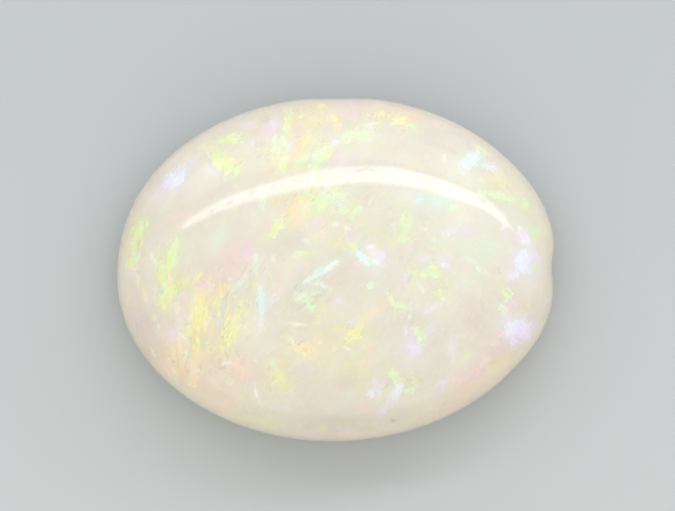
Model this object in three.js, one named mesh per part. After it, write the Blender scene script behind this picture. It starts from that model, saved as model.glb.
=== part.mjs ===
// A loose oval opal, cut as a cabochon: a polished dome over a rounded girdle, and a flat back that it rests on.
// Millimetres, +Z up. The stone's length runs along X, and the origin is on its back, under the middle of its outline.

import * as THREE from 'three';
import { mergeVertices } from 'three/addons/utils/BufferGeometryUtils.js';

// Driving dimensions
const LENGTH = 14.2;
const WIDTH = 11.1;
const GIRDLE_HEIGHT = 1.25; // from the back up to the widest line
const DOME_HEIGHT = 3.45; // from the widest line up to the top
const DOME_FULLNESS = 2.1; // 2 gives an elliptical section, and more gives a flatter top and a steeper rim
const BACK_INSET = 0.85; // from the widest line in to the rim of the flat back
const BACK_TURN = THREE.MathUtils.degToRad(28); // how steeply the underside turns up at that rim
const TOP_OFFSET = new THREE.Vector2(-0.2, 0.12); // how far off centre the hand-cut dome peaks

// Where the girdle leaves a true oval: its direction from +X and its spread in degrees, and how far out in millimetres
const GIRDLE_MARKS = [
  { name: 'notch in the right end', at: -1.5, spread: 3.5, out: -0.15 },
  { name: 'upper right shoulder', at: 16, spread: 7, out: 0.05 },
  { name: 'flattened far side', at: 88, spread: 7, out: -0.065 },
  { name: 'upper left shoulder', at: 137, spread: 14, out: 0.04 },
  { name: 'blunt left end', at: 174, spread: 9, out: -0.065 },
  { name: 'lower right shoulder', at: 341, spread: 6, out: 0.065 },
];
const MARK_FADE = 6; // the power of the distance from the centre by which those marks die away over the dome

// How finely the surface is divided
const SEGMENTS = 96;
const DOME_STEPS = 20;
const UNDERSIDE_STEPS = 6;

// The section, from the middle of the back out to the girdle and over the dome to the top. Its first coordinate is a
// share of the outline's radius, and its second is a height.
function sectionPoints() {
  const rim = 1 - BACK_INSET / (WIDTH / 2);
  const points = [new THREE.Vector2(0, 0)];
  for (let i = 0; i <= UNDERSIDE_STEPS; i++) {
    const angle = THREE.MathUtils.lerp(BACK_TURN, Math.PI / 2, i / UNDERSIDE_STEPS);
    const across = (Math.sin(angle) - Math.sin(BACK_TURN)) / (1 - Math.sin(BACK_TURN));
    const up = 1 - Math.cos(angle) / Math.cos(BACK_TURN);
    points.push(new THREE.Vector2(rim + (1 - rim) * across, GIRDLE_HEIGHT * up));
  }
  for (let i = 1; i < DOME_STEPS; i++) {
    const angle = (Math.PI / 2) * (i / DOME_STEPS);
    const across = Math.cos(angle) ** (2 / DOME_FULLNESS);
    const up = Math.sin(angle) ** (2 / DOME_FULLNESS);
    points.push(new THREE.Vector2(across, GIRDLE_HEIGHT + DOME_HEIGHT * up));
  }
  points.push(new THREE.Vector2(0, GIRDLE_HEIGHT + DOME_HEIGHT));
  return points;
}

// The radius of the true oval in one direction.
function ovalRadius(direction) {
  return 1 / Math.hypot(Math.cos(direction) / (LENGTH / 2), Math.sin(direction) / (WIDTH / 2));
}

// How far the girdle lies outside the true oval in one direction.
function girdleMark(direction) {
  const degrees = THREE.MathUtils.radToDeg(direction);
  let out = 0;
  for (const mark of GIRDLE_MARKS) {
    const away = THREE.MathUtils.euclideanModulo(degrees - mark.at + 180, 360) - 180;
    out += mark.out * Math.exp(-0.5 * (away / mark.spread) ** 2);
  }
  return out;
}

// The section is turned to a round unit dome, and each point of that is then moved out to the stone's own outline.
function stoneGeometry() {
  const turned = new THREE.LatheGeometry(sectionPoints(), SEGMENTS);
  turned.rotateX(Math.PI / 2);
  turned.deleteAttribute('normal');
  turned.deleteAttribute('uv');
  const geometry = mergeVertices(turned, 1e-5);
  const position = geometry.getAttribute('position');
  for (let i = 0; i < position.count; i++) {
    const share = Math.hypot(position.getX(i), position.getY(i));
    const direction = Math.atan2(position.getY(i), position.getX(i));
    const height = position.getZ(i);
    const radius = share * ovalRadius(direction) + share ** MARK_FADE * girdleMark(direction);
    const rise = Math.max(0, height - GIRDLE_HEIGHT) / DOME_HEIGHT;
    const x = radius * Math.cos(direction) + TOP_OFFSET.x * rise ** 2;
    const y = radius * Math.sin(direction) + TOP_OFFSET.y * rise ** 2;
    position.setXYZ(i, x, y, height);
  }
  geometry.computeBoundingBox();
  const middle = geometry.boundingBox.getCenter(new THREE.Vector3());
  geometry.translate(-middle.x, -middle.y, 0);
  geometry.computeVertexNormals();
  return geometry;
}

const milkyOpal = new THREE.MeshStandardMaterial({ color: '#ece3d4', roughness: 0.1, metalness: 0 });

const opal = new THREE.Mesh(stoneGeometry(), milkyOpal);
opal.name = 'opal';

const stone = new THREE.Group();
stone.add(opal);

export default stone;
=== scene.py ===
"""A loose white opal: milky and translucent, with flakes of play-of-colour under a polished dome.

Its shape and its markings are worked out in millimetres, and every object is made in metres."""

import math
from typing import NamedTuple

import bpy
import numpy as np
from mathutils import Matrix, Vector, noise


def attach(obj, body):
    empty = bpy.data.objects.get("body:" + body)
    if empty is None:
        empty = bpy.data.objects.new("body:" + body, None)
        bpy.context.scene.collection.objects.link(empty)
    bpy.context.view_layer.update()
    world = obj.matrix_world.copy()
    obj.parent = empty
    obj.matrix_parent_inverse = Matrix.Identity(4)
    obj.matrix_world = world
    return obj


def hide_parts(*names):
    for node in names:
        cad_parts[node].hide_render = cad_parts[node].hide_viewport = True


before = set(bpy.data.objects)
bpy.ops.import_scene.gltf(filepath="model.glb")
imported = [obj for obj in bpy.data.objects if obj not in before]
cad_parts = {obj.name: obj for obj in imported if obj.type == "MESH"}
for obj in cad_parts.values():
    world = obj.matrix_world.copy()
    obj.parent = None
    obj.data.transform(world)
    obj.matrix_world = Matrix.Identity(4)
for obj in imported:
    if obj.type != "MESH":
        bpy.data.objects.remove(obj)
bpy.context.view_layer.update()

MM = 0.001

# The stone's shape, with the dimensions of its solid
LENGTH = 14.2
WIDTH = 11.1
GIRDLE_HEIGHT = 1.25
DOME_HEIGHT = 3.45
DOME_FULLNESS = 2.1
BACK_INSET = 0.85
BACK_TURN = math.radians(28)
TOP_OFFSET = (-0.2, 0.12)
MARK_FADE = 6
GIRDLE_MARKS = [  # direction and spread in degrees, and how far out
    (-1.5, 3.5, -0.15),
    (16, 7, 0.05),
    (88, 7, -0.065),
    (137, 14, 0.04),
    (174, 9, -0.065),
    (341, 6, 0.065),
]

# How finely its mesh is divided
GRID = 256  # cells along each side of the square that is bent into the round top of the dome
GRID_SHARE = 0.97  # how far out that reaches, as a share of the outline's radius
SHOULDER_RINGS = 9
UNDERSIDE_RINGS = 10
BACK_RINGS = 6

# Where the photograph has the stone, in its pixels
PHOTO_SIZE = (675, 511)
STONE_MIDDLE = (335.8, 268.9)
STONE_LENGTH_PIXELS = 441
STONE_TURN = math.radians(1.8)  # anticlockwise

# The colours that show, as display colours, and how much brighter than its own colour a level surface shows
BODY_COLOUR = (233, 228, 211)
# The rim's colour below is painted shade: the milk darker and warmer towards the edge
RIM_SHADE_COLOUR = (231, 215, 193)
LIGHT_ON_LEVEL = 1.12
WHITE = (251, 254, 246)
CREAM = (251, 245, 222)
LIME = (232, 247, 166)
GREEN = (227, 247, 192)
MINT = (230, 247, 219)
CYAN = (224, 252, 252)
BLUE = (239, 242, 255)
VIOLET = (243, 231, 255)
MAGENTA = (245, 220, 234)
PINK = (245, 217, 211)
SALMON = (247, 220, 200)
ORANGE = (252, 230, 190)
GOLD = (249, 233, 168)
YELLOW = (247, 243, 158)
OLIVE = (236, 233, 186)
PEACH = (250, 230, 202)
MAUVE = (232, 212, 204)
TAN = (224, 208, 184)
GREY = (220, 222, 204)
DARK_SPOT = (150, 140, 120)


class Oval(NamedTuple):
    """An oval on the dome, seen from straight above: a flake of colour, or a mark in the polish, which has
    none. It is in millimetres, and its angle is that of its length, in degrees anticlockwise from +X."""

    x: float
    y: float
    half_length: float
    half_width: float
    angle: float
    colour: tuple = ()
    strength: float = 0.8


def ovals(rows):
    """The ovals of a table. In its rows, places and sizes are in hundredths of a millimetre."""
    return [Oval(*(size / 100 for size in row[:4]), *row[4:]) for row in rows]


# Flakes near the surface, with clear ragged edges
CRISP_FLAKES = ovals([
    # Far left quarter of the dome
    (-325, 426, 30, 15, 12, LIME, 1),
    (-340, 350, 45, 17, -45, LIME, 1),
    (-372, 384, 24, 12, -45, LIME, 0.5),
    (-374, 353, 36, 4, -50, YELLOW, 0.7),
    (-322, 356, 18, 5, -50, GOLD, 0.7),
    (-312, 321, 14, 10, -50, GREEN, 0.9),
    (-506, 306, 40, 20, 45, BLUE, 1),
    (-498, 332, 16, 12, 50, VIOLET, 0.5),
    (-522, 297, 20, 14, 50, VIOLET, 1),
    (-492, 316, 12, 10, 50, CYAN, 0.9),
    (-138, 486, 30, 12, 80, LIME, 0.7),
    (-150, 450, 16, 10, 90, GREEN, 0.9),
    (-183, 467, 12, 10, 0, VIOLET),
    (-93, 494, 10, 6, 90, YELLOW),
    (-166, 370, 52, 26, 80, OLIVE),
    (-168, 398, 25, 20, 90, GREEN, 0.75),
    (-160, 336, 22, 16, 70, LIME, 0.7),
    (-190, 348, 16, 6, 90, GOLD),
    (-183, 420, 13, 9, 90, MINT, 0.85),
    (-133, 400, 12, 9, 60, BLUE, 0.7),
    (-153, 417, 19, 5, -57, CREAM, 0.7),
    (-133, 443, 16, 6, 60, GOLD, 0.7),
    (-74, 445, 55, 11, 70, GOLD, 0.4),
    (-43, 350, 46, 16, 56, GREEN, 1),
    (-20, 376, 22, 14, 60, LIME, 0.6),
    (-60, 320, 20, 8, 75, MINT, 0.7),
    (-47, 308, 8, 5, 60, GOLD),
    (-15, 333, 16, 4, 60, GREY, 0.7),
    (-87, 358, 20, 6, 50, GREEN, 0.7),
    (-107, 343, 15, 5, 50, GREEN, 0.7),
    (-30, 524, 14, 10, 0, YELLOW),
    (-28, 502, 8, 5, 0, ORANGE, 0.7),
    # Just below the highlight
    (-102, 227, 15, 8, 90, YELLOW),
    (-82, 220, 42, 14, 80, OLIVE),
    (-62, 250, 40, 5, 75, GOLD, 0.7),
    (-37, 222, 30, 22, 60, GREEN),
    (-20, 252, 20, 15, 40, WHITE, 0.5),
    (3, 253, 14, 10, 30, LIME),
    (28, 233, 20, 16, 0, GREEN),
    (-2, 223, 15, 7, 90, MINT),
    (18, 208, 12, 8, 0, BLUE, 0.6),
    (33, 188, 18, 12, 30, GREEN),
    (73, 188, 16, 12, 45, GREEN, 0.85),
    (73, 208, 12, 4, 50, TAN),
    (-227, 221, 20, 10, 80, MINT, 0.6),
    # Far right quarter of the dome
    (13, 408, 12, 9, 30, BLUE, 0.7),
    (8, 482, 16, 10, -60, YELLOW, 0.85),
    (22, 460, 15, 9, -60, ORANGE, 0.85),
    (50, 418, 22, 18, 60, GREEN),
    (98, 434, 28, 17, 10, GREEN, 0.65),
    (110, 412, 25, 10, 20, MINT, 0.3),
    (127, 454, 14, 12, 0, WHITE, 0.6),
    (157, 486, 13, 11, 20, YELLOW),
    (220, 474, 24, 11, 20, YELLOW, 0.95),
    (248, 454, 12, 8, 0, LIME, 0.6),
    (266, 446, 12, 9, 90, GREEN, 0.4),
    (368, 444, 8, 6, 0, SALMON, 0.7),
    (468, 377, 13, 6, -35, YELLOW, 0.9),
    (483, 363, 15, 7, -30, GREEN, 0.9),
    (503, 355, 15, 6, -30, OLIVE, 0.9),
    (442, 336, 34, 20, 40, CYAN, 1),
    (458, 355, 12, 8, 40, WHITE, 0.6),
    (418, 330, 10, 6, 90, VIOLET),
    (428, 305, 15, 8, 70, MINT, 0.5),
    (508, 310, 17, 10, -15, BLUE, 0.95),
    (488, 315, 12, 8, -15, CYAN, 0.6),
    (358, 340, 12, 6, 90, CREAM, 0.4),
    (474, 269, 10, 5, -20, YELLOW, 0.5),
    (478, 227, 15, 10, 0, GREEN, 0.85),
    (463, 225, 8, 8, 0, WHITE, 0.6),
    (524, 218, 28, 11, -15, GREEN, 1),
    (558, 207, 17, 11, -20, GREEN, 1),
    (613, 190, 15, 13, 0, GREEN, 0.7),
    (328, 230, 12, 9, 0, GREEN, 0.7),
    (273, 210, 12, 8, 20, CYAN, 0.6),
    # Left end
    (-627, 145, 25, 17, 40, LIME, 1),
    (-615, 105, 13, 5, 90, YELLOW),
    (-646, 95, 45, 8, 82, LIME),
    (-658, 45, 28, 10, 75, LIME),
    (-636, 50, 25, 5, 60, GREEN),
    (-644, 20, 6, 5, 0, WHITE),
    (-658, 10, 12, 10, 0, VIOLET, 0.5),
    (-634, -12, 17, 8, 90, LIME, 0.7),
    (-613, -60, 17, 7, -80, ORANGE, 0.9),
    (-618, -80, 6, 5, 0, ORANGE),
    (-578, -45, 10, 9, 0, VIOLET, 0.3),
    (-576, 45, 20, 8, -60, CREAM),
    (-511, 80, 33, 9, 70, LIME, 0.95),
    (-533, 40, 32, 13, 62, LIME, 0.9),
    (-550, -12, 36, 11, -82, LIME, 1),
    (-538, -68, 36, 19, 60, LIME, 1),
    (-531, -25, 30, 6, 90, ORANGE),
    (-551, -100, 12, 8, 60, YELLOW),
    (-557, -52, 15, 6, 80, GREY, 0.7),
    (-510, 50, 22, 6, 70, MINT, 0.5),
    (-436, -5, 15, 8, 20, YELLOW),
    (-490, -70, 16, 12, 70, MAGENTA, 0.6),
    (-501, -95, 25, 5, 10, SALMON, 0.7),
    (-509, -115, 14, 7, 80, CREAM, 0.5),
    (-500, -148, 18, 10, 70, VIOLET, 0.4),
    (-492, -162, 16, 6, 60, VIOLET, 0.4),
    (-570, -168, 5, 5, 0, WHITE, 0.5),
    (-586, -135, 10, 8, 0, ORANGE, 0.7),
    # Left of the middle
    (-416, -45, 15, 10, 60, PINK),
    (-396, -50, 12, 10, 60, SALMON),
    (-436, -80, 26, 14, 74, GOLD, 0.9),
    (-438, -132, 46, 21, 74, YELLOW, 1),
    (-452, -178, 40, 19, 76, GOLD, 1),
    (-454, -230, 25, 12, 80, YELLOW, 0.95),
    (-470, -150, 45, 5, 74, CREAM, 0.7),
    (-415, -150, 30, 5, 65, ORANGE),
    (-400, -128, 8, 6, 0, PINK, 0.7),
    (-381, -90, 15, 10, 90, LIME),
    (-376, -130, 25, 5, -75, LIME),
    (-366, -60, 22, 10, 60, GOLD, 0.5),
    (-346, -70, 8, 5, 0, TAN, 0.5),
    (-361, -105, 15, 8, 60, GREY, 0.9),
    (-408, -200, 30, 6, 72, GOLD, 0.7),
    (-381, -160, 15, 8, 70, GREY, 0.7),
    (-332, -162, 46, 19, 68, YELLOW, 0.9),
    (-319, -128, 20, 10, 65, LIME, 0.5),
    (-253, 26, 25, 9, 80, MINT, 0.7),
    (-316, -44, 22, 9, 40, MINT, 0.6),
    (-286, -14, 10, 8, 50, BLUE, 0.4),
    (-336, -20, 6, 5, 0, WHITE, 0.4),
    (-256, -44, 12, 10, 0, YELLOW, 0.4),
    (-240, -105, 42, 15, 85, CYAN, 0.7),
    (-242, -162, 26, 13, 90, WHITE, 0.45),
    (-238, -59, 15, 8, 90, MINT),
    (-295, -174, 6, 5, 0, CREAM),
    # Middle
    (-186, 135, 34, 14, 50, LIME, 1),
    (-56, 148, 20, 12, 30, MAGENTA, 0.45),
    (-36, 123, 15, 12, 0, ORANGE, 0.3),
    (-50, 108, 16, 10, 0, ORANGE, 0.5),
    (4, 140, 12, 8, 0, WHITE, 0.6),
    (49, 143, 12, 4, -60, TAN, 0.9),
    (44, 120, 12, 4, 30, TAN, 0.9),
    (41, 129, 8, 5, 0, CREAM),
    (-91, 93, 12, 8, 0, MINT, 0.6),
    (-121, 48, 18, 11, 30, GREEN, 0.6),
    (-100, 53, 15, 8, 20, LIME, 0.5),
    (-200, 37, 10, 5, 90, CREAM, 0.9),
    (54, 63, 15, 7, 90, LIME, 0.5),
    (-50, -10, 46, 9, 28, CYAN),
    (-25, 5, 30, 7, 28, WHITE, 1),
    (-62, -13, 20, 5, 28, WHITE),
    (-79, -50, 10, 8, 40, PINK),
    (-46, -48, 13, 10, -40, CYAN, 0.7),
    (-113, -84, 25, 6, 20, MINT),
    (-75, -77, 25, 5, 15, MINT, 0.6),
    (-86, -103, 20, 10, -50, GREEN, 0.85),
    (-76, -118, 12, 10, 90, GREEN),
    (-190, -75, 30, 7, 48, BLUE, 0.35),
    (86, 34, 38, 14, -52, CYAN, 0.95),
    (135, 43, 32, 13, -40, VIOLET, 0.65),
    (125, 24, 20, 6, -35, WHITE),
    (120, 14, 12, 8, 0, MINT, 0.6),
    (115, 67, 10, 5, 0, WHITE),
    (75, 9, 12, 8, -50, PINK, 0.7),
    (110, -55, 12, 10, 0, MINT, 0.9),
    (6, -102, 12, 10, 0, BLUE, 0.6),
    (225, 139, 25, 15, 90, GREEN, 0.7),
    (215, 89, 12, 10, 0, GREEN, 0.7),
    (185, 134, 10, 10, 0, VIOLET, 0.3),
    (171, -101, 20, 6, -65, GREEN, 1),
    (201, -122, 27, 7, -15, GREEN, 1),
    (218, -130, 8, 5, -15, MINT),
    (-65, -162, 18, 10, 60, GOLD, 0.5),
    (-134, -173, 25, 5, -10, CREAM, 0.9),
    (231, -156, 10, 4, 85, CREAM, 0.9),
    (-195, -55, 15, 8, 60, PINK, 0.5),
    # Right end
    (240, 144, 22, 16, 80, GREEN, 0.6),
    (380, 185, 15, 10, 0, GREEN, 0.7),
    (375, 110, 25, 10, 20, VIOLET, 0.7),
    (317, 85, 5, 5, 0, WHITE, 0.5),
    (320, 60, 5, 5, 0, YELLOW, 0.5),
    (350, 55, 6, 5, 0, YELLOW, 0.4),
    (287, 120, 6, 5, 0, CREAM, 0.9),
    (430, 17, 20, 5, -35, MINT),
    (460, -15, 12, 5, -45, MINT),
    (480, -26, 30, 5, -40, OLIVE, 0.6),
    (602, 2, 42, 26, -70, BLUE, 1),
    # This violet flake and the one at x 6.00, y 0.95 two rows below are a painted reflection: the faint
    # streak that runs on past the right end of the highlight
    (626, 45, 32, 9, -65, VIOLET),
    (566, -40, 15, 12, 20, VIOLET, 0.9),
    (600, 95, 15, 12, 30, VIOLET),
    (590, 115, 10, 8, 0, WHITE, 0.6),
    (610, 75, 15, 10, -30, BLUE, 0.9),
    (597, 72, 8, 5, 0, WHITE),
    (580, 80, 10, 8, 0, MAGENTA),
    (650, 10, 12, 8, 90, MAGENTA, 0.7),
    (636, -14, 10, 8, 0, LIME, 0.7),
    (544, -92, 22, 10, -50, GREEN, 1),
    (541, -119, 8, 5, 90, CREAM),
    (560, -130, 14, 10, 0, MAGENTA, 0.7),
    (526, -145, 18, 12, -50, MINT, 0.9),
    (295, -24, 30, 7, 0, GREEN, 0.95),
    (320, -34, 12, 5, 20, LIME, 0.9),
    (245, -21, 12, 7, 0, LIME, 0.7),
    (310, -6, 12, 7, 0, GREEN, 0.7),
    (330, -82, 15, 9, 20, LIME, 0.7),
    (272, -76, 14, 5, 90, MINT, 0.4),
    (340, -105, 8, 6, 0, MINT),
    (308, -138, 22, 12, 20, BLUE, 0.5),
    (295, -131, 12, 9, 90, VIOLET, 0.3),
    (345, -55, 10, 7, 0, GOLD, 0.35),
    (265, -56, 12, 8, 90, BLUE, 0.3),
    (350, 0, 12, 8, 0, BLUE, 0.7),
    (285, 24, 12, 10, 0, VIOLET, 0.5),
    (540, 120, 8, 5, 30, WHITE, 0.7),
    # Near left quarter of the dome
    (-510, -230, 22, 8, 65, GOLD),
    (-520, -275, 46, 12, 78, ORANGE, 0.9),
    (-550, -285, 34, 9, 80, SALMON, 0.9),
    (-464, -315, 42, 15, 80, ORANGE, 1),
    (-468, -338, 15, 5, -80, ORANGE, 0.7),
    (-484, -292, 17, 5, -30, PINK, 0.9),
    (-429, -228, 14, 10, 60, GREY, 0.6),
    (-400, -240, 26, 8, 20, GOLD, 0.7),
    (-346, -196, 32, 16, 72, YELLOW, 0.9),
    (-349, -225, 20, 12, 70, YELLOW, 0.9),
    (-369, -195, 12, 5, 70, ORANGE),
    (-360, -245, 12, 4, -65, WHITE, 0.9),
    (-360, -268, 25, 4, 85, GREY, 1),
    (-354, -290, 15, 4, 0, CREAM),
    (-354, -350, 10, 8, 0, MINT, 0.35),
    (-264, -390, 20, 4, -80, WHITE, 0.7),
    (-264, -280, 5, 5, 0, WHITE, 0.4),
    (-370, -260, 30, 5, -80, GOLD, 0.6),
    (-528, -190, 20, 14, 60, MAGENTA, 0.3),
    (-510, -210, 16, 5, -60, CREAM, 0.6),
    (-498, -200, 20, 5, -60, CREAM),
    (-490, -260, 12, 5, 80, MINT),
    (-479, -265, 15, 6, 80, GREY, 0.6),
    (-595, -255, 20, 5, -60, YELLOW, 0.7),
    (-560, -305, 15, 8, -50, GOLD, 0.6),
    # Near side of the dome
    (-116, -248, 32, 17, -25, GOLD, 1),
    (-142, -233, 15, 5, -50, CREAM),
    (-119, -238, 5, 4, 0, TAN, 1),
    (-107, -256, 5, 4, 0, TAN, 1),
    (-86, -270, 18, 13, 0, ORANGE, 0.7),
    (-74, -227, 12, 10, 0, SALMON),
    (-60, -237, 8, 5, 0, CREAM),
    (-12, -252, 12, 6, 90, ORANGE, 0.7),
    (53, -202, 34, 13, 48, YELLOW, 1),
    (58, -218, 17, 10, 10, YELLOW, 0.95),
    (43, -214, 4, 4, 0, TAN, 1),
    (96, -257, 16, 12, 0, ORANGE, 0.45),
    (30, -257, 15, 5, -40, CREAM),
    (-194, -338, 36, 16, -70, YELLOW, 0.6),
    (-208, -358, 10, 7, 0, CREAM),
    (-189, -358, 12, 6, 90, GOLD, 0.4),
    (-210, -305, 18, 7, -60, MINT, 0.5),
    (-208, -294, 15, 9, 80, MINT, 0.7),
    (120, -372, 20, 12, 90, VIOLET, 0.5),
    (102, -402, 13, 10, 90, BLUE, 0.9),
    (122, -396, 12, 10, 90, VIOLET, 0.4),
    (177, -347, 25, 12, -60, GREEN, 0.85),
    (184, -397, 24, 11, 55, BLUE, 1),
    (182, -395, 18, 4, 55, WHITE, 0.9),
    (177, -422, 12, 10, 0, VIOLET, 0.5),
    (224, -396, 22, 8, 0, GREEN, 0.95),
    (239, -363, 8, 6, 0, LIME, 0.9),
    (98, -532, 20, 4, 0, YELLOW, 0.7),
    (222, -206, 15, 9, 90, MAGENTA, 0.7),
    (-129, -207, 15, 10, 30, VIOLET, 0.2),
    (-115, -212, 5, 5, 0, GREY, 1),
    # Near right quarter of the dome
    (261, -211, 30, 12, -75, GREEN, 0.95),
    (251, -211, 12, 5, -75, WHITE),
    (244, -262, 20, 18, 60, VIOLET, 0.7),
    (327, -381, 18, 12, 40, VIOLET, 0.6),
    (552, -210, 28, 20, -60, BLUE, 1),
    (602, -215, 27, 21, -50, VIOLET, 1),
    (571, -190, 15, 10, 0, BLUE, 0.9),
    (562, -242, 26, 10, -50, VIOLET),
    (578, -217, 20, 18, 0, VIOLET, 0.9),
    (520, -225, 16, 12, 60, PINK, 0.7),
    (502, -250, 16, 12, 0, PINK, 0.6),
    (471, -310, 35, 10, 40, PINK),
    (561, -280, 16, 10, 40, OLIVE, 0.4),
    (362, -270, 30, 12, 80, VIOLET, 0.4),
    (361, -240, 15, 10, 80, VIOLET, 0.3),
    (430, -345, 40, 12, 38, PINK, 0.5),
    (295, -205, 22, 12, 90, VIOLET, 0.4),
    # A small dark spot, painted in the colour only; nothing is cut into the surface there
    (166, -490, 6, 5, 0, DARK_SPOT, 0.6),
])

# Flakes deeper in the milk, with soft edges
SOFT_FLAKES = ovals([
    # Far side of the dome
    (-447, 361, 20, 15, 0, VIOLET, 0.5),
    (-387, 320, 25, 12, -20, BLUE, 0.5),
    (-267, 470, 20, 10, 0, BLUE, 0.6),
    (-257, 411, 20, 12, 0, BLUE, 0.5),
    (-467, 375, 20, 8, 40, YELLOW, 0.5),
    (-302, 465, 30, 15, 10, PINK, 0.5),
    (-247, 450, 25, 15, 10, PINK, 0.5),
    (-193, 447, 30, 15, 0, MAGENTA, 0.6),
    (-108, 432, 22, 18, 60, PINK, 0.7),
    (-113, 387, 20, 16, 60, PINK, 0.7),
    (-80, 415, 75, 20, 68, OLIVE),
    (-28, 443, 20, 20, 0, OLIVE, 0.5),
    (118, 463, 15, 10, 0, PINK, 0.6),
    (8, 398, 14, 12, 0, VIOLET, 0.6),
    (-202, 312, 30, 20, 60, PINK, 0.6),
    (28, 353, 30, 20, 0, VIOLET, 0.4),
    (273, 480, 15, 10, 0, SALMON, 0.7),
    (530, 270, 40, 26, -40, PEACH, 0.5),
    # Just below the highlight
    (-152, 247, 14, 12, 0, GREEN, 0.6),
    (-192, 222, 25, 20, 0, GOLD, 0.4),
    (-122, 210, 46, 24, 80, ORANGE, 0.6),
    (93, 223, 20, 15, 90, PINK, 0.6),
    (103, 197, 15, 12, 0, PINK, 0.5),
    (173, 223, 20, 15, 60, GREEN, 0.6),
    (198, 204, 15, 12, 0, GREEN, 0.5),
    (278, 230, 17, 12, 0, BLUE, 0.7),
    (325, 208, 50, 22, 0, CYAN, 0.6),
    (215, 225, 25, 14, 0, MINT, 0.5),
    # Left end
    (-600, 20, 35, 20, 80, MAGENTA, 0.25),
    (-596, -20, 20, 15, 0, MAUVE, 0.4),
    (-481, -30, 40, 17, 5, OLIVE),
    (-481, -115, 15, 12, 0, PINK, 0.5),
    (-525, -185, 20, 15, 0, MAGENTA, 0.6),
    (-426, -40, 30, 20, 60, MAGENTA, 0.9),
    (-281, 76, 27, 20, 80, MAGENTA),
    (-330, 38, 80, 33, 65, MAUVE),
    (-362, 135, 70, 26, 62, MINT, 0.7),
    (-366, 110, 20, 15, 0, CYAN, 0.35),
    # Middle
    (-210, 152, 17, 12, 90, PINK),
    (-126, 163, 32, 22, 80, ORANGE, 0.75),
    (-175, -28, 30, 12, 90, PINK, 0.6),
    (-101, 93, 38, 22, 0, GREY),
    (-76, 53, 20, 12, 20, GREEN, 0.7),
    (54, 113, 22, 16, 30, MAGENTA),
    (9, 88, 26, 16, 60, OLIVE, 0.9),
    (34, 73, 25, 13, 0, LIME, 0.5),
    (-42, 16, 34, 12, 28, MINT, 0.5),
    (-116, -38, 42, 17, 60, GREY),
    (-15, -33, 20, 17, 0, PINK, 0.9),
    (220, -46, 30, 20, 0, MAGENTA, 0.6),
    (180, 84, 22, 16, 0, GREEN, 0.6),
    (135, 119, 27, 13, 0, OLIVE, 0.6),
    (138, -122, 42, 14, 42, ORANGE, 0.9),
    (95, -162, 35, 14, 40, PEACH, 0.6),
    (-40, -127, 22, 16, 0, YELLOW, 0.5),
    (0, -187, 16, 12, 0, GREEN, 0.5),
    (50, -172, 16, 12, 0, VIOLET, 0.7),
    # Right end
    (330, 90, 45, 25, 0, MINT, 0.6),
    (420, 100, 30, 18, 0, VIOLET, 0.4),
    (410, -50, 45, 30, 0, MINT, 0.4),
    (475, 55, 50, 30, 0, MINT, 0.4),
    (648, 100, 26, 22, 0, GREEN, 1),
    (576, -110, 26, 20, 60, PINK),
    (572, -133, 30, 20, 0, MAUVE, 0.9),
    (345, 20, 22, 16, 0, VIOLET),
    # Near side of the dome
    (-560, -266, 26, 14, 60, SALMON),
    (-432, -266, 34, 16, 20, ORANGE, 1),
    (-320, -310, 32, 20, -10, SALMON, 0.7),
    (-280, -320, 30, 18, -10, PINK, 0.6),
    (-254, -425, 22, 17, 0, GREEN, 0.6),
    (-308, -475, 20, 15, 0, GREEN, 0.6),
    (-228, -489, 30, 13, 0, GREEN, 0.6),
    (-280, -190, 50, 34, 70, CREAM, 0.6),
    (-179, -298, 26, 20, 0, OLIVE, 0.6),
    (18, -366, 32, 20, 0, MAUVE, 0.9),
    (77, -447, 26, 14, 0, PINK, 0.7),
    (137, -462, 22, 14, 30, VIOLET, 0.7),
    (-57, -507, 16, 12, 0, GREEN, 0.6),
    (-97, -527, 20, 10, 0, VIOLET, 0.5),
    (13, -522, 20, 10, 0, VIOLET, 0.5),
    (235, -250, 26, 20, 90, VIOLET, 0.6),
    (102, -207, 16, 12, 0, GREEN, 0.5),
    (57, -277, 16, 12, 0, GREEN, 0.5),
    (122, -237, 16, 12, 0, MINT, 0.6),
    (377, -370, 17, 15, 0, PINK, 0.9),
    (372, -350, 16, 13, 0, PINK, 0.7),
    (470, -308, 95, 20, 38, MAUVE, 0.9),
    (446, -336, 17, 12, 0, PINK),
    (411, -290, 22, 16, 0, GREEN, 0.7),
    (501, -335, 26, 16, 40, GREEN, 0.6),
    (255, -450, 40, 18, 10, PEACH, 0.6),
])

# Where threads of fire run thickly through the milk
THREADS = ovals([
    (-635, 80, 110, 35, 82, LIME, 0.9),
    (-530, 10, 130, 50, 78, LIME, 0.9),
    (-430, -140, 170, 90, 72, YELLOW, 1),
    (-340, -160, 150, 60, 70, YELLOW, 0.9),
    (-490, -290, 110, 60, 80, ORANGE, 1),
    (-330, -290, 110, 50, 70, ORANGE, 0.6),
    (-260, -30, 110, 50, 50, MINT),
    (-340, 355, 90, 50, -45, LIME),
    (-190, 450, 100, 50, 70, OLIVE, 0.9),
    (-60, 440, 110, 70, 70, GOLD, 0.9),
    (-80, 250, 160, 90, 80, GREEN, 1),
    (60, 170, 110, 60, 60, GREEN, 0.9),
    (190, 470, 110, 40, -10, YELLOW, 0.7),
    (490, 320, 100, 50, -45, MINT, 0.7),
    (300, -50, 80, 80, 0, LIME, 1),
    (220, 110, 110, 80, 0, GREEN, 0.5),
    (240, -180, 100, 50, -65, GREEN),
    (560, -90, 90, 40, -60, GREEN),
    (-80, -70, 90, 60, 30, MINT, 0.7),
    (-110, -240, 70, 50, -30, GOLD),
    (50, -210, 60, 40, 40, YELLOW),
    (-200, -350, 90, 50, -75, YELLOW),
    (170, -380, 100, 50, 0, MINT),
    (-240, -470, 120, 40, -15, OLIVE, 0.5),
])

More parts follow.
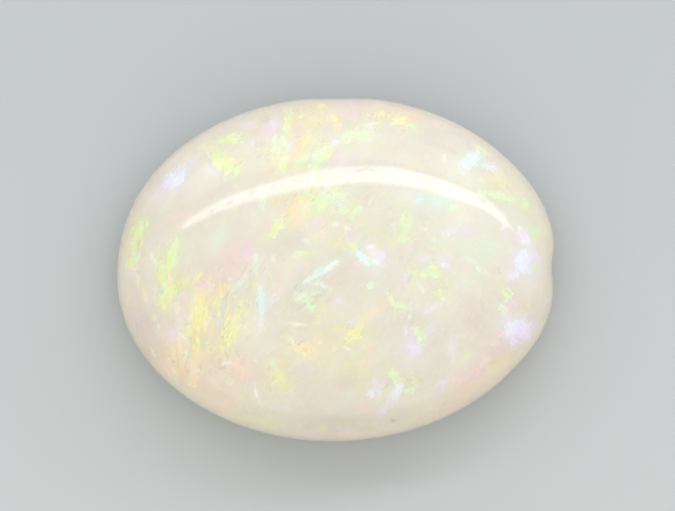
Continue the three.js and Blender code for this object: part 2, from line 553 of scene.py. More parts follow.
# Fine scratches and chips in the polish: x, y, half length, half width, and angle
SCRATCHES = ovals([
    (462, 222, 22, 4.5, -68),
    (478, 202, 12, 3.5, 75),
    (85, 310, 15, 4, 10),
    (108, 320, 13, 3.5, 35),
    (127, 313, 11, 3.5, -30),
    (-125, 287, 7, 4.5, 0),
    (-170, 268, 6, 4.5, 0),
    (-260, 250, 10, 3.5, 30),
    (-330, 222, 10, 3.5, 35),
    (-390, 193, 8, 3.5, 40),
    (264, -208, 30, 3.5, -72),
    (-362, -245, 35, 3.5, -84),
    (550, -95, 25, 3.5, -55),
])

# The patch where the wheel left fine lines, and how those run
WHEEL_PATCH = Oval(4.35, -1.85, 1, 0.6, 62)
WHEEL_LINES_PER_MM = 9

# Wide, faint tints of the milk, with painted light and shade in them: lighter and creamier towards the far
# side, darker and tan towards the near side
TINTS_WITH_LIGHT_AND_SHADE = ovals([
    (-110, 415, 90, 55, 60, OLIVE, 0.6),
    (-60, 495, 80, 40, 0, ORANGE, 0.3),
    (70, 515, 70, 40, 0, PINK, 0.5),
    (240, 492, 90, 35, -12, PEACH),
    (-208, 455, 40, 30, 0, MAGENTA, 0.45),
    (110, 430, 50, 35, 0, GREEN, 0.3),
    (230, 370, 80, 45, 0, TAN, 0.2),
    (385, 420, 70, 35, -30, VIOLET, 0.15),
    (530, 260, 60, 60, 0, OLIVE, 0.5),
    (620, 160, 80, 40, -60, GREEN, 0.3),
    (310, 200, 60, 40, 0, MINT, 0.45),
    (-130, 200, 45, 50, 0, ORANGE, 0.35),
    (-40, 210, 45, 40, 0, LIME, 0.4),
    (80, 180, 50, 40, 0, GREEN, 0.25),
    (-550, 270, 65, 45, 40, VIOLET, 0.22),
    (-485, -35, 40, 16, 8, OLIVE),
    (-330, 40, 100, 60, 65, PINK, 0.55),
    (-410, -50, 50, 50, 0, SALMON, 0.4),
    (-440, -130, 90, 50, 75, YELLOW, 0.5),
    (-538, -15, 90, 36, 82, LIME, 0.4),
    (-630, 140, 50, 30, 60, LIME, 0.3),
    (-610, -180, 90, 50, -62, MAUVE),
    (-490, -305, 95, 55, -42, ORANGE, 0.85),
    (-320, -305, 90, 50, 0, SALMON, 0.55),
    (-60, -220, 100, 65, 20, GOLD, 0.28),
    (50, -200, 45, 45, 0, YELLOW, 0.12),
    (-100, -80, 90, 50, 40, GREY, 0.7),
    (5, -10, 45, 35, 28, TAN, 0.5),
    (100, 30, 50, 40, -50, MINT, 0.3),
    (220, 130, 50, 40, 0, GREEN, 0.25),
    (300, -30, 60, 50, 0, GREEN, 0.25),
    (430, 50, 90, 55, 0, MINT, 0.4),
    (600, 5, 50, 50, 0, BLUE, 0.6),
    (435, -175, 60, 90, 0, MAUVE, 0.55),
    (320, -180, 60, 50, 0, GREY, 0.35),
    (580, -220, 55, 38, 0, VIOLET, 0.9),
    (460, -315, 110, 40, 38, MAUVE, 0.5),
    (230, -260, 60, 50, 0, VIOLET, 0.3),
    (150, -400, 60, 50, 0, BLUE, 0.1),
    (70, -320, 120, 60, 0, OLIVE, 0.6),
    (435, -400, 160, 42, 37, PEACH, 1),
    (-200, -340, 50, 50, 0, YELLOW, 0.3),
    (-390, -420, 110, 45, -30, PEACH, 0.7),
    (-250, -490, 80, 35, -10, OLIVE, 0.5),
    # The tan tints along the near side are partly painted shade
    (0, -500, 120, 40, 0, TAN, 0.5),
    (-100, -400, 80, 50, 0, TAN, 0.25),
    (440, 155, 100, 45, 0, WHITE, 0.35),
    (230, 225, 50, 35, 0, WHITE, 0.3),
    (-230, 370, 45, 40, 0, OLIVE, 0.35),
    (-300, 380, 35, 35, 0, OLIVE, 0.35),
    (10, 375, 45, 40, 0, MAUVE, 0.55),
    (-525, -155, 40, 35, 0, MAUVE, 0.55),
    (-150, -110, 50, 70, 0, TAN, 0.3),
    (90, -390, 50, 40, 0, TAN, 0.35),
    (220, -380, 50, 40, 0, OLIVE, 0.3),
    (-330, -380, 70, 35, -20, PEACH, 0.6),
    (95, 450, 60, 35, 0, MAUVE, 0.35),
    (0, 150, 45, 35, 0, GOLD, 0.2),
    (-460, 210, 60, 40, 30, PINK, 0.4),
    (-540, 160, 50, 35, 60, PINK, 0.3),
    (-650, 0, 130, 35, 88, PINK, 0.4),
    (525, -310, 60, 35, 40, PEACH, 0.4),
    (390, -435, 180, 30, 35, TAN, 0.35),
    (-225, 375, 45, 35, 0, GREY, 0.6),
    (-375, 375, 35, 30, 0, GREY, 0.4),
    (-230, 450, 40, 30, 0, TAN, 0.2),
    (-525, -75, 40, 35, 0, TAN, 0.28),
    (680, 0, 30, 50, 0, CREAM, 0.45),
    (-680, 30, 160, 28, 90, CREAM, 0.4),
])

# How the flakes in the tables show
LAYERS = [  # how strong each table is in the milk, and how far it spreads there, for its ovals' own size
    (TINTS_WITH_LIGHT_AND_SHADE, 0.75, 1),
    (CRISP_FLAKES, 0.26, 1.7),
    (SOFT_FLAKES, 0.55, 1.1),
]
WARP = 0.07  # how far their edges wander
WARP_PER_MM = 2.5
DOME_START = 0.3  # how far above the girdle they begin to show
DOME_FADE = 0.9  # over what height they come in
MEETING = 8  # how sharply one crisp flake's colour gives way to its neighbour's
FARTHEST = -4  # the nearness below which every flake counts alike
SIDE_DEPTH = -0.3  # how deep in a crisp flake the sides count as lying
MOST_RAGGED = 0.14  # how ragged the edge of a crisp flake is at most
RAGGED_SHARE = 0.8  # and for each millimetre of its half width
RAGGEDNESS = 2.6
JITTER_PER_MM = 6
SPLINTERS = (0.22, 0.07, 62)  # length, width and angle of the splinters along the edges
SPLINTERING = 0.35
EDGE = 0.035  # how far an edge fades inwards and outwards
EDGE_GLINT = (0.75, 0.01, 0.04)  # how bright the line along an edge is, how far inside it lies, and how wide
STRIPES_PER_MM = (1.5, 12, 5.3)  # along a flake and across it, and how the stripes change from flake to flake
STRIPE_RANGE = (0.36, 0.56)  # the values of a cloud from a gap between stripes to a stripe
STRIPE_COVER = (0.3, 0.86)  # how strong a crisp flake is in those two places
PALING_RANGE = (0.45, 0.7)  # the values of a cloud where a crisp flake has little white in it, and much
PALING = (0.1, 0.6)  # how much that is
GLINT_RANGE = (0.48, 0.66)  # the values of a cloud where an edge has no line, and where it has a full one
GLINT_PALING = 0.6

# The milk, its rim painted darker and warmer as painted shade, and its own streaks
RIM_SHARE = 0.82  # where the rim begins, as a share of the outline's radius
RIM_SHADE_STRENGTH = 0.48
RIM_POWER = 1.5  # how slowly it sets in
CLOUD_RANGE = (0.3, 0.7)  # where nearly all values of a cloud lie
STREAKS = (0.9, 0.11)  # length and width
STREAK_CONTRAST = (0.65, 1.35)  # how strongly the tables' colours show in the milk, from streak to streak
MOTTLES = [(0.9, 0.4, 0.12), (0.25, 0.1, 0.1)]  # the milk's own mottling: length, width and strength
MOTTLE_ANGLE = 50
VEIL = (0.96, 1.03)  # how much light the milk gives back, from place to place
GRAIN_ANGLES = (75, 42, -42)  # how the fine streaks lean on the left, in the middle and on the right
GRAIN_TURN = (1.2, 3.6)  # how far from the middle their lean begins to change, and has changed

# Threads of fire
THREADS_ELSEWHERE = 0.15  # how strong they are outside their ovals
THREADS_ON_SIDES = 0.4  # how strong they are below the dome, as a share of that on it
THREAD_GRAIN = (0.6, 0.22)
THREAD_LEVELS = (0.5, 0.585)  # the values of that grain where a thread lies, and where its shade does
THREAD_WIDTH = (0.01, 0.045)  # how far from those values a thread is full, and has ended
BREAKS = (0.42, 0.6)  # the values of a cloud between which fine lines break off
THREAD_LIGHT = 0.6
THREAD_SHADE = 0.18
SHADE_COLOUR = (0.3, 0.28, 0.2, 1)

# Flakes at random: tiny faint ones everywhere, and large ones below the dome
FIRE_COLOURS = [LIME, PINK, GREEN, CYAN, YELLOW, VIOLET, MINT, ORANGE, BLUE, OLIVE]
SPARKS = {"length": 0.34, "width": 0.09, "angle": 55, "lit": 0.3, "ragged": 0.5}
SPARK_STRENGTH = 0.18
SIDE_FLAKES = {"length": 1.1, "width": 0.45, "angle": 62, "lit": 0.42, "ragged": 1.3}
SIDE_STREAKS = (0.5, 0.08, 62)  # length, width and angle
SIDE_STREAK_COVER = (0.4, 0.6, 0.35, 1)  # from which to which value of a cloud, how strong the flakes are
SIDE_FIRE = 0.7
CELL_REACH = 0.55  # how far the largest of them reach from the middle of their cells
CELL_EDGE = (-0.02, 0.1)  # how far from a flake's edge it begins, and is full
SIDE_TINT = 0.35

# The polish, with depths in millimetres
POLISH_WAVES = [(0.9, 0.0014), (2.4, 0.0004)]  # waves to the millimetre, and their height
WAVE_FADE = 4  # how steeply the waves set in above the girdle
UNEVENNESS = 0.0006
PITS_PER_MM = 2.2
PITTED = 0.1  # the share of those places that has a pit
PIT_SIZE = 0.09
PIT_EDGE = 0.06
PIT_DEPTH = 0.004
SCRATCH_DEPTH = 0.004
# The scratches and the wheel lines are painted darker as well as cut: painted shade in them
SCRATCH_SHADE = 0.16
WHEEL_BANDS = (0.6, 0.95)  # the values of a wave where a line begins, and where it is full
WHEEL_SMEARS = (0.5, 0.12)  # length and width of the stretches in which the lines don't break off
WHEEL_LINE_DEPTH = 0.0006
WHEEL_LINE_SHADE = 0.08
# The colour of that painted shade in the scratches and wheel lines
GROOVE_SHADE_COLOUR = (0.3, 0.28, 0.22, 1)
ROUGHNESS = (0.07, 0.12)

# The studio
# The floor's two colours, far and near: the lighter near one is painted light
FLOOR_FAR = (0.445, 0.468, 0.466)
FLOOR_NEAR = (0.5, 0.522, 0.506)
FLOOR_BLEND = 14 * MM  # how far out from the middle the floor goes on changing from the one to the other
FLOOR_REACH = 2.0
FLOOR_DROP = 0.01 * MM
CAMERA_DISTANCE = 0.3
SOFTBOX_COLOUR = (0.92, 0.96, 1.1, 1)
SOFTBOX = [  # how far along it each step is, how far down, and how thick the box is, for one unit of distance
    (-1.2, -0.17, 0.05),
    (-0.79, -0.125, 0.115),
    (-0.45, -0.11, 0.135),
    (-0.26, -0.1, 0.145),
    (-0.12, -0.065, 0.15),
    (0.02, -0.035, 0.19),
    (0.31, 0.01, 0.19),
    (0.75, 0.01, 0.2),
    (1.24, 0.055, 0.22),
    (1.75, -0.045, 0.15),
    (2.1, -0.09, 0.06),
    (2.6, -0.15, 0.02),
]


def linear(colour):
    """A display colour, 0 to 255, as linear light."""
    share = np.asarray(colour, float) / 255
    return np.where(share <= 0.04045, share / 12.92, ((share + 0.055) / 1.055) ** 2.4)


def albedo(colour):
    """The surface colour that shows as this display colour where the stone lies level."""
    return linear(colour) / LIGHT_ON_LEVEL


def oval_radius(direction):
    return 1 / np.hypot(np.cos(direction) / (LENGTH / 2), np.sin(direction) / (WIDTH / 2))


def girdle_mark(direction):
    degrees = np.degrees(direction)
    out = np.zeros_like(degrees)
    for at, spread, by in GIRDLE_MARKS:
        away = (degrees - at + 180) % 360 - 180
        out += by * np.exp(-0.5 * (away / spread) ** 2)
    return out


def on_stone(share, direction, height):
    """Points of the stone, from their share of the outline's radius, their direction and their height."""
    radius = share * oval_radius(direction) + share**MARK_FADE * girdle_mark(direction)
    rise = np.maximum(0, height - GIRDLE_HEIGHT) / DOME_HEIGHT
    x = radius * np.cos(direction) + TOP_OFFSET[0] * rise**2
    y = radius * np.sin(direction) + TOP_OFFSET[1] * rise**2
    return np.stack([x, y, height], axis=-1)


def dome_height(share):
    return GIRDLE_HEIGHT + DOME_HEIGHT * np.maximum(0, 1 - share**DOME_FULLNESS) ** (1 / DOME_FULLNESS)


def disc_grid():
    """A square grid bent into a disc with cells of like size: how far out its points are, as shares of the
    outline's radius, and in which directions."""
    line = np.linspace(-1, 1, GRID + 1)
    a, b = np.meshgrid(line, line, indexing="ij")
    wide = np.abs(a) > np.abs(b)
    long = np.where(wide, a, b)
    short = np.where(wide, b, a)
    turn = np.pi / 4 * short / np.where(long == 0, 1, long)
    direction = np.where(wide, turn, np.pi / 2 - turn)
    x, y = long * np.cos(direction), long * np.sin(direction)
    return GRID_SHARE * np.hypot(x, y).ravel(), np.arctan2(y, x).ravel()


def disc_rim():
    """The numbers of the grid points on the disc's rim, anticlockwise from 45 degrees below +X."""
    steps = np.arange(GRID)
    row = GRID + 1
    right = GRID * row + steps
    far = (GRID - steps) * row + GRID
    left = GRID - steps
    near = steps * row
    return np.concatenate([right, far, left, near])


def section_rings():
    """The rings past the disc grid, over the girdle and in under the stone: their shares of the radius, and
    heights."""
    rings = []
    start = math.asin((1 - GRID_SHARE**DOME_FULLNESS) ** 0.5)
    for i in range(1, SHOULDER_RINGS + 1):
        angle = start * (1 - i / SHOULDER_RINGS)
        share = math.cos(angle) ** (2 / DOME_FULLNESS)
        rings.append((share, float(dome_height(share))))
    rim = 1 - BACK_INSET / (WIDTH / 2)
    for i in range(1, UNDERSIDE_RINGS + 1):
        angle = math.pi / 2 + (BACK_TURN - math.pi / 2) * i / UNDERSIDE_RINGS
        across = (math.sin(angle) - math.sin(BACK_TURN)) / (1 - math.sin(BACK_TURN))
        up = 1 - math.cos(angle) / math.cos(BACK_TURN)
        rings.append((rim + (1 - rim) * across, GIRDLE_HEIGHT * up))
    for i in range(1, BACK_RINGS):
        rings.append((rim * (1 - i / BACK_RINGS), 0.0))
    return rings


def stone_points_and_faces():
    """The stone's points, before its box is centred, and its four-sided and three-sided faces."""
    share, direction = disc_grid()
    points = [on_stone(share, direction, dome_height(share))]
    cell = np.arange(GRID)
    corner = (cell[:, None] * (GRID + 1) + cell[None, :]).ravel()
    quads = [np.stack([corner, corner + GRID + 1, corner + GRID + 2, corner + 1], axis=1)]

    count = 4 * GRID
    around = -np.pi / 4 + 2 * np.pi * np.arange(count) / count
    inner = disc_rim()
    first = (GRID + 1) ** 2
    for ring_share, height in section_rings():
        outer = first + np.arange(count)
        points.append(on_stone(np.full(count, ring_share), around, np.full(count, height)))
        quads.append(np.stack([inner, outer, np.roll(outer, -1), np.roll(inner, -1)], axis=1))
        inner = outer
        first += count
    points.append(np.zeros((1, 3)))
    fan = np.stack([inner, np.full(count, first), np.roll(inner, -1)], axis=1)
    return np.concatenate(points), np.concatenate(quads), fan


def add_polish_waves(points, dome):
    """Lets the dome dip by a few thousandths of a millimetre, as polishing leaves it."""
    level = np.maximum(0, 1 - (points[:, 0] / LENGTH * 2) ** 2 - (points[:, 1] / WIDTH * 2) ** 2)
    for i in np.flatnonzero(dome > 0):
        place = Vector(points[i])
        dip = 0
        for per_mm, height in POLISH_WAVES:
            dip += height * (noise.noise(place * per_mm) - 1)
        points[i, 2] += dip * min(1, level[i] * WAVE_FADE)


def warped(points):
    """The points' x and y, shifted a little to and fro, so that the flakes aren't true ovals."""
    shifts = np.array([noise.noise_vector(Vector(point) * WARP_PER_MM)[:2] for point in points])
    shifted = points[:, :2] + WARP * shifts
    return shifted[:, 0], shifted[:, 1]


def in_oval(oval, x, y):
    """How far each point lies along the oval's length and across it, in millimetres from its middle."""
    turn = math.radians(oval.angle)
    right, up = x - oval.x, y - oval.y
    return right * math.cos(turn) + up * math.sin(turn), up * math.cos(turn) - right * math.sin(turn)


def nearness(oval, x, y):
    """1 at the oval's middle, 0 on its edge and below 0 outside."""
    along, across = in_oval(oval, x, y)
    return 1 - np.hypot(along / oval.half_length, across / oval.half_width)


def milk_tint_and_shade(x, y, dome):
    """The milk's colour at each point, with painted light and shade in it: its rim painted darker and warmer,
    wide tints that run lighter towards the far side and darker towards the near side, soft flakes and the
    glow of crisp ones.
    """
    share = np.hypot(x / (LENGTH / 2), y / (WIDTH / 2))
    # The rim's painted shade: darker and warmer towards the edge
    rim = np.clip((share - RIM_SHARE) / (1 - RIM_SHARE), 0, 1)[:, None] ** RIM_POWER * RIM_SHADE_STRENGTH
    tint = albedo(BODY_COLOUR) * (1 - rim) + albedo(RIM_SHADE_COLOUR) * rim
    for table, strength, spread in LAYERS:
        for flake in table:
            away = (1 - nearness(flake, x, y)) / spread
            cover = (strength * flake.strength * np.exp(-(away**2)) * dome)[:, None]
            tint = tint * (1 - cover) + albedo(flake.colour) * cover
    return tint


def flake_fields(x, y, dome):
    """For each point how deep it lies in a crisp flake, in millimetres, that flake's colour, strength and
    raggedness, and the point's place in it. Where flakes meet, the one that is relatively nearest counts."""
    depth = np.full(len(x), -1.0)
    nearest = np.full(len(x), -np.inf)
    place = np.zeros((len(x), 3))
    sums = np.zeros((len(x), 6))
    for number, flake in enumerate(CRISP_FLAKES):
        near = nearness(flake, x, y)
        closer = near > nearest
        along, across = in_oval(flake, x[closer], y[closer])
        place[closer] = np.stack([along, across, np.full(len(along), float(number))], axis=1)
        nearest = np.maximum(nearest, near)
        depth = np.maximum(depth, near * flake.half_width)
        weight = np.exp(MEETING * np.maximum(near, FARTHEST))[:, None]
        ragged = min(MOST_RAGGED, RAGGED_SHARE * flake.half_width)
        sums += weight * (*albedo(flake.colour), flake.strength, ragged, 1)
    means = sums / sums[:, 5:]
    return {
        "flake_place": place,
        "flake_depth": depth + SIDE_DEPTH * (1 - dome),
        "flake_colour": means[:, :3],
        "flake_strength": means[:, 3],
        "flake_ragged": means[:, 4],
    }


def on_marks(marks, x, y, power):
    """1 in the middle of the marks in the polish, and falling to 0 outside them."""
    most = np.zeros(len(x))
    for mark in marks:
        away = 1 - nearness(mark, x, y)
        most = np.maximum(most, np.exp(-(away**power)))
    return most


def thread_fields(x, y, dome):
    """How strongly the threads of fire show at each point, and their colour there."""
    plain = np.full(len(x), 1 - THREADS_ELSEWHERE)
    colour = np.tile(albedo(CREAM), (len(x), 1))
    for flake in THREADS:
        cover = flake.strength * np.exp(-((1 - nearness(flake, x, y)) ** 4))
        plain *= 1 - cover
        colour += cover[:, None] * (albedo(flake.colour) - colour)
    strength = (1 - plain) * (THREADS_ON_SIDES + (1 - THREADS_ON_SIDES) * dome)
    return {"thread_strength": strength, "thread_colour": colour}


def add_attribute(mesh, name, values):
    """Gives each of the mesh's points its number, or its three numbers."""
    kind, key = ("FLOAT", "value") if values.ndim == 1 else ("FLOAT_VECTOR", "vector")
    mesh.attributes.new(name, kind, "POINT").data.foreach_set(key, values.ravel())


def new_material(name):
    """A material, with the node tree and the shader in it."""
    material = bpy.data.materials.new(name)
    material.use_nodes = True
    return material, material.node_tree, material.node_tree.nodes["Principled BSDF"]


def new_object(name, data):
    made = bpy.data.objects.new(name, data)
    bpy.context.scene.collection.objects.link(made)
    return made


def set_inputs(node, inputs):
    """Joins each of the node's named inputs to a socket, or sets it to a value."""
    for name, value in inputs.items():
        if isinstance(value, bpy.types.NodeSocket):
            node.id_data.links.new(value, node.inputs[name])
        else:
            node.inputs[name].default_value = value


def add_node(kind, inputs, tree=None, **settings):
    """A node in this tree, or else in the one of the first socket that it's joined to."""
    sockets = [value for value in inputs.values() if isinstance(value, bpy.types.NodeSocket)]
    made = (tree or sockets[0].id_data).nodes.new("ShaderNode" + kind)
    for name, value in settings.items():
        setattr(made, name, value)
    set_inputs(made, inputs)
    return made


def maths(operation, first, second):
    return add_node("Math", {0: first, 1: second}, operation=operation).outputs[0]


def times(first, second):
    return maths("MULTIPLY", first, second)


def plus(first, second):
    return maths("ADD", first, second)


def minus(first, second):
    return maths("SUBTRACT", first, second)


def ranged(value, low, high, to_low, to_high, interpolation="LINEAR"):
    """value carried from the range low to high over to the range to_low to to_high, and held inside it."""
    inputs = {"Value": value, "From Min": low, "From Max": high, "To Min": to_low, "To Max": to_high}
    return add_node("MapRange", inputs, interpolation_type=interpolation).outputs["Result"]


def peaked(value, peak, full, ended):
    """1 where value is within full of the peak, falling to 0 where it is as far off as ended."""
    return ranged(maths("ABSOLUTE", minus(value, peak), 0), full, ended, 1, 0)


def mixed(factor, first, second, blend="MIX"):
    inputs = {0: factor, 6: first, 7: second}
    made = add_node("Mix", inputs, data_type="RGBA", blend_type=blend, clamp_factor=False)
    return made.outputs[2]


def attribute_of(tree, name, output="Fac"):
    return add_node("Attribute", {}, tree, attribute_name=name).outputs[output]


def cloud(place, per_mm=1, detail=2, output="Fac"):
    inputs = {"Vector": place, "Scale": per_mm, "Detail": detail, "Roughness": 0.6}
    return add_node("TexNoise", inputs).outputs[output]


def cells(place, per_mm=1):
    """Cells at random: how far each point is from the middle of its cell, and three numbers for the cell."""
    made = add_node("TexVoronoi", {"Vector": place, "Scale": per_mm})
    drawn = add_node("SeparateColor", {"Color": made.outputs["Color"]})
    return made.outputs["Distance"], drawn.outputs


def stretched(place, length, width, angle):
    """Coordinates in which one unit is length along the angle in the level plane, and width across it."""
    scale = (length, width, (length + width) / 2)
    inputs = {"Vector": place, "Rotation": (0, 0, math.radians(angle)), "Scale": scale}
    return add_node("Mapping", inputs, vector_type="TEXTURE").outputs["Vector"]


def grain(place, length, width, detail):
    """Streaks that lean as the growth lines do: steep on the left, then across, and back on the right."""
    x = add_node("SeparateXYZ", {"Vector": place}).outputs["X"]
    leaning = [stretched(place, length, width, angle) for angle in GRAIN_ANGLES]
    left, middle, right = (cloud(lean, detail=detail) for lean in leaning)
    near, far = GRAIN_TURN
    inner = mixed(ranged(x, -far, -near, 0, 1), left, middle)
    return mixed(ranged(x, near, far, 0, 1), inner, right)


def fire_colour(draw):
    """One of the fire's colours, picked by a number from 0 to 1."""
    ramp = add_node("ValToRGB", {"Fac": draw})
    ramp.color_ramp.interpolation = "CONSTANT"
    elements = ramp.color_ramp.elements
    while len(elements) < len(FIRE_COLOURS):
        elements.new(1.0)
    for i, colour in enumerate(FIRE_COLOURS):
        elements[i].position = i / len(FIRE_COLOURS)
        elements[i].color = (*albedo(colour), 1)
    return ramp.outputs["Color"]


def random_fire(place, jitter, length, width, angle, lit, ragged):
    """Flakes at random: how much each point is covered, and the colour there. lit is the share of the cells
    that have a flake."""
    distance, drawn = cells(stretched(place, length, width, angle))
    reach = ranged(drawn["Red"], 1 - lit, 1, 0, CELL_REACH)
    inside = minus(reach, plus(distance, times(jitter, ragged)))
    return ranged(inside, *CELL_EDGE, 0, 1, "SMOOTHSTEP"), fire_colour(drawn["Green"])


def milk(tree, place):
    """The milk's colour, with the painted light and shade of its tints and rim, streaked and mottled."""
    streak = ranged(grain(place, *STREAKS, detail=3), *CLOUD_RANGE, *STREAK_CONTRAST)
    colour = mixed(streak, (*albedo(BODY_COLOUR), 1), attribute_of(tree, "milk_tint_and_shade", "Color"))
    for length, width, strength in MOTTLES:
        hue = cloud(stretched(place, length, width, MOTTLE_ANGLE), output="Color")
        colour = mixed(strength, colour, hue, "OVERLAY")
    veil = ranged(cloud(place, per_mm=0.9, detail=3), *CLOUD_RANGE, *VEIL)
    return mixed(1.0, colour, veil, "MULTIPLY")


def with_random_fire(tree, place, surface, jitter):
    """The surface with tiny faint flakes all over it, and with large ones and wide tints below the dome."""
    cover, colour = random_fire(place, jitter, **SPARKS)
    surface = mixed(times(cover, SPARK_STRENGTH), surface, colour)
    side = attribute_of(tree, "side_fire")
    tint = cloud(place, per_mm=0.45, output="Color")
    surface = mixed(times(side, SIDE_TINT), surface, tint, "OVERLAY")
    cover, colour = random_fire(place, jitter, **SIDE_FLAKES)
    streaks = ranged(cloud(stretched(place, *SIDE_STREAKS)), *SIDE_STREAK_COVER)
    return mixed(times(times(cover, streaks), side), surface, colour)


def with_crisp_flakes(tree, place, surface, jitter):
    """The surface with the crisp flakes on it: splintered edges, stripes, and pale glints along the edges."""
    _, drawn = cells(stretched(place, *SPLINTERS))
    jitter = plus(jitter, times(minus(drawn["Red"], 0.5), SPLINTERING))
    ragged = times(jitter, attribute_of(tree, "flake_ragged"))
    depth = plus(attribute_of(tree, "flake_depth"), times(ragged, RAGGEDNESS))
    strength = attribute_of(tree, "flake_strength")
    inputs = {0: attribute_of(tree, "flake_place", "Vector"), 1: STRIPES_PER_MM}
    own_place = add_node("VectorMath", inputs, operation="MULTIPLY").outputs[0]
    stripes = ranged(cloud(own_place), *STRIPE_RANGE, *STRIPE_COVER)
    cover = times(ranged(depth, -EDGE, EDGE, 0, 1, "SMOOTHSTEP"), strength)
    white = (*albedo(WHITE), 1)
    paling = ranged(cloud(place, per_mm=5), *PALING_RANGE, *PALING)
    colour = mixed(paling, attribute_of(tree, "flake_colour", "Color"), white)
    surface = mixed(times(cover, stripes), surface, colour)
    brightness, inside, reach = EDGE_GLINT
    glint = times(peaked(depth, inside, 0, reach), brightness)
    glint = times(glint, ranged(cloud(place, per_mm=4, detail=1), *GLINT_RANGE, 0, 1))
    return mixed(times(glint, strength), surface, mixed(GLINT_PALING, colour, white))


def with_threads(tree, place, surface):
    """The surface with winding threads of light in it, and a faint shade beside them."""
    field = grain(place, *THREAD_GRAIN, detail=1.5)
    broken = ranged(cloud(place, per_mm=1.6), *BREAKS, 0, 1)
    strength = times(attribute_of(tree, "thread_strength"), broken)
    lit, shade = (times(peaked(field, level, *THREAD_WIDTH), strength) for level in THREAD_LEVELS)
    colour = attribute_of(tree, "thread_colour", "Color")
    surface = mixed(times(lit, THREAD_LIGHT), surface, colour)
    return mixed(times(shade, THREAD_SHADE), surface, SHADE_COLOUR)


def wheel_lines(tree, place):
    """The fine lines left by the wheel: 1 in the middle of one, and 0 between them."""
    across = stretched(place, 1, 1, WHEEL_PATCH.angle + 90)
    scale = WHEEL_LINES_PER_MM * math.pi / 10  # at a scale of 1, the node's bands are pi / 10 apart
    inputs = {"Vector": across, "Scale": scale, "Distortion": 1.2, "Detail Scale": 0.4}
    wave = add_node("TexWave", inputs, wave_type="BANDS", bands_direction="X").outputs["Fac"]
    smears = cloud(stretched(place, *WHEEL_SMEARS, WHEEL_PATCH.angle), detail=1)
    line = times(ranged(wave, *WHEEL_BANDS, 0, 1), ranged(smears, *BREAKS, 0, 1))
    return times(line, attribute_of(tree, "wheel_patch"))


def polish_height(place):
    """The fine marks of the polish, in millimetres: a faint unevenness, and here and there a tiny pit."""
    distance, drawn = cells(place, PITS_PER_MM)
    size = ranged(drawn["Blue"], 1 - PITTED, 1, 0, PIT_SIZE)
    pit = ranged(minus(size, distance), 0, PIT_EDGE, 0, PIT_DEPTH)
    return minus(times(cloud(place, per_mm=5), UNEVENNESS), pit)


def make_opal():
    """Milky silica with flakes of fire in it, under a polish."""
    material, tree, shader = new_material("milky opal")
    metres = add_node("TexCoord", {}, tree).outputs["Object"]
    place = add_node("VectorMath", {0: metres, 3: 1 / MM}, operation="SCALE").outputs[0]
    jitter = minus(cloud(place, JITTER_PER_MM, detail=3), 0.5)
    surface = with_random_fire(tree, place, milk(tree, place), jitter)
    surface = with_crisp_flakes(tree, place, surface, jitter)
    surface = with_threads(tree, place, surface)
    scratch, lines = attribute_of(tree, "scratch"), wheel_lines(tree, place)
    # Painted shade: the scratches and wheel lines are painted darker
    groove_shade = plus(times(scratch, SCRATCH_SHADE), times(lines, WHEEL_LINE_SHADE))
    marks = plus(times(scratch, SCRATCH_DEPTH), times(lines, WHEEL_LINE_DEPTH))
    height = times(minus(polish_height(place), marks), MM)
    bump = add_node("Bump", {"Height": height, "Distance": 1.0, "Strength": 1.0})
    set_inputs(shader, {
        "Base Color": mixed(groove_shade, surface, GROOVE_SHADE_COLOUR),
        "Roughness": ranged(cloud(place, per_mm=3, detail=3), *CLOUD_RANGE, *ROUGHNESS),
        "Normal": bump.outputs["Normal"],
        "IOR": 1.45,
        "Specular IOR Level": 0.7,
        "Subsurface Weight": 1.0,
        "Subsurface Radius": (1.0, 0.8, 0.6),
        "Subsurface Scale": 0.5 * MM,
    })
    return material


def add_stone():
    points, quads, fan = stone_points_and_faces()
    dome = np.clip((points[:, 2] - GIRDLE_HEIGHT - DOME_START) / DOME_FADE, 0, 1)
    x, y = warped(points)
    middle = (points.max(0) + points.min(0)) / 2
    middle[2] = 0
    add_polish_waves(points, dome)
    mesh = bpy.data.meshes.new("opal_surface")
    mesh.from_pydata(((points - middle) * MM).tolist(), [], quads.tolist() + fan.tolist())
    mesh.shade_smooth()
    fields = flake_fields(x, y, dome) | thread_fields(x, y, dome)
    fields["milk_tint_and_shade"] = milk_tint_and_shade(x, y, dome)
    fields["side_fire"] = SIDE_FIRE * (1 - dome)
    fields["scratch"] = dome * on_marks(SCRATCHES, x, y, power=3)
    fields["wheel_patch"] = dome * on_marks([WHEEL_PATCH], x, y, power=2)
    for name, values in fields.items():
        add_attribute(mesh, name, values)
    mesh.materials.append(make_opal())
    stone = new_object("opal_stone", mesh)
    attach(stone, "root")
    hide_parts("opal")
    return Vector(middle)


def add_floor():
    """A plain pale floor, painted a little lighter towards the near side, which is painted light."""
    mesh = bpy.data.meshes.new("floor")
    corners = [(-1, -1, 0), (1, -1, 0), (1, 1, 0), (-1, 1, 0)]
    mesh.from_pydata([Vector(corner) * FLOOR_REACH for corner in corners], [], [(0, 1, 2, 3)])
    floor = new_object("floor", mesh)
    floor.location.z = -FLOOR_DROP
    paint, tree, shader = new_material("floor")
    metres = add_node("TexCoord", {}, tree).outputs["Object"]
    y = add_node("SeparateXYZ", {"Vector": metres}).outputs["Y"]
    far = ranged(y, -FLOOR_BLEND, FLOOR_BLEND, 0, 1, "SMOOTHSTEP")
    colour = mixed(far, (*FLOOR_NEAR, 1), (*FLOOR_FAR, 1))
    set_inputs(shader, {"Base Color": colour, "Roughness": 0.7})
    mesh.materials.append(paint)


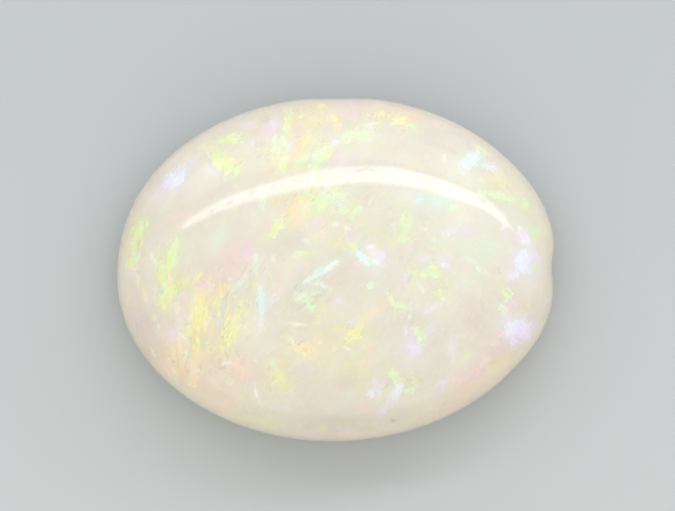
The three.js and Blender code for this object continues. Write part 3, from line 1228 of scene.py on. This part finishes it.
def add_softbox(distance, tilt, radiance):
    """The long curved softbox whose reflection is the highlight. It stands square to a line that leans by
    tilt from straight up towards +Y."""
    towards = Vector((0, math.sin(tilt), math.cos(tilt)))
    down = Vector((0, math.cos(tilt), -math.sin(tilt)))
    corners = []
    for along, drop, thickness in SOFTBOX:
        for edge in (-0.5, 0.5):
            offset = Vector((along, 0, 0)) + down * (drop + edge * thickness)
            corners.append(distance * (towards + offset))
    mesh = bpy.data.meshes.new("softbox")
    mesh.from_pydata(corners, [], [(i, i + 1, i + 3, i + 2) for i in range(0, len(corners) - 2, 2)])
    glow, tree, _ = new_material("softbox")
    emission = add_node("Emission", {"Color": SOFTBOX_COLOUR, "Strength": radiance}, tree)
    set_inputs(tree.nodes["Material Output"], {"Surface": emission.outputs[0]})
    mesh.materials.append(glow)
    box = new_object("softbox", mesh)
    box.visible_camera = False


def add_fill_light(distance, tilt, width, height, radiance):
    """A wide soft light low on the near side."""
    data = bpy.data.lights.new("fill", "AREA")
    data.shape = "RECTANGLE"
    data.size = width
    data.size_y = height
    data.energy = radiance * math.pi * width * height
    lamp = new_object("fill", data)
    lamp.matrix_world = Matrix.Rotation(tilt, 4, "X") @ Matrix.Translation((0, 0, distance))
    lamp.visible_camera = False


def add_camera(middle):
    """The camera looks straight down, and puts the stone where the photograph has it."""
    pixel = LENGTH * MM / STONE_LENGTH_PIXELS
    data = bpy.data.cameras.new("camera")
    data.sensor_fit = "HORIZONTAL"
    data.sensor_width = 36
    data.lens = data.sensor_width * CAMERA_DISTANCE / (PHOTO_SIZE[0] * pixel)
    data.clip_start = 0.01
    right = (PHOTO_SIZE[0] / 2 - STONE_MIDDLE[0]) * pixel
    up = (STONE_MIDDLE[1] - PHOTO_SIZE[1] / 2) * pixel
    roll = Matrix.Rotation(-STONE_TURN, 4, "Z")
    place = roll @ Vector((right, up, 0)) - middle * MM
    place.z = CAMERA_DISTANCE + GIRDLE_HEIGHT * MM
    camera = new_object("camera", data)
    camera.matrix_world = Matrix.Translation(place) @ roll
    bpy.context.scene.camera = camera


def add_world(strength, slope):
    """Soft light from all round, with more of it from the near side than from the far side."""
    world = bpy.data.worlds.new("studio")
    world.use_nodes = True
    tree = world.node_tree
    towards = add_node("TexCoord", {}, tree).outputs["Generated"]
    y = add_node("SeparateXYZ", {"Vector": towards}).outputs["Y"]
    sloped = ranged(y, -1, 1, strength * (1 + slope), strength * (1 - slope))
    set_inputs(tree.nodes["Background"], {"Strength": sloped, "Color": (1, 0.99, 0.98, 1)})
    bpy.context.scene.world = world


stone_middle = add_stone()
add_floor()
add_world(strength=0.925, slope=0.36)
add_softbox(distance=0.35, tilt=math.radians(42), radiance=5.0)
add_fill_light(distance=0.5, tilt=math.radians(-66), width=1.1, height=0.25, radiance=1.0)
add_camera(stone_middle)
bpy.context.scene.view_settings.view_transform = "Standard"
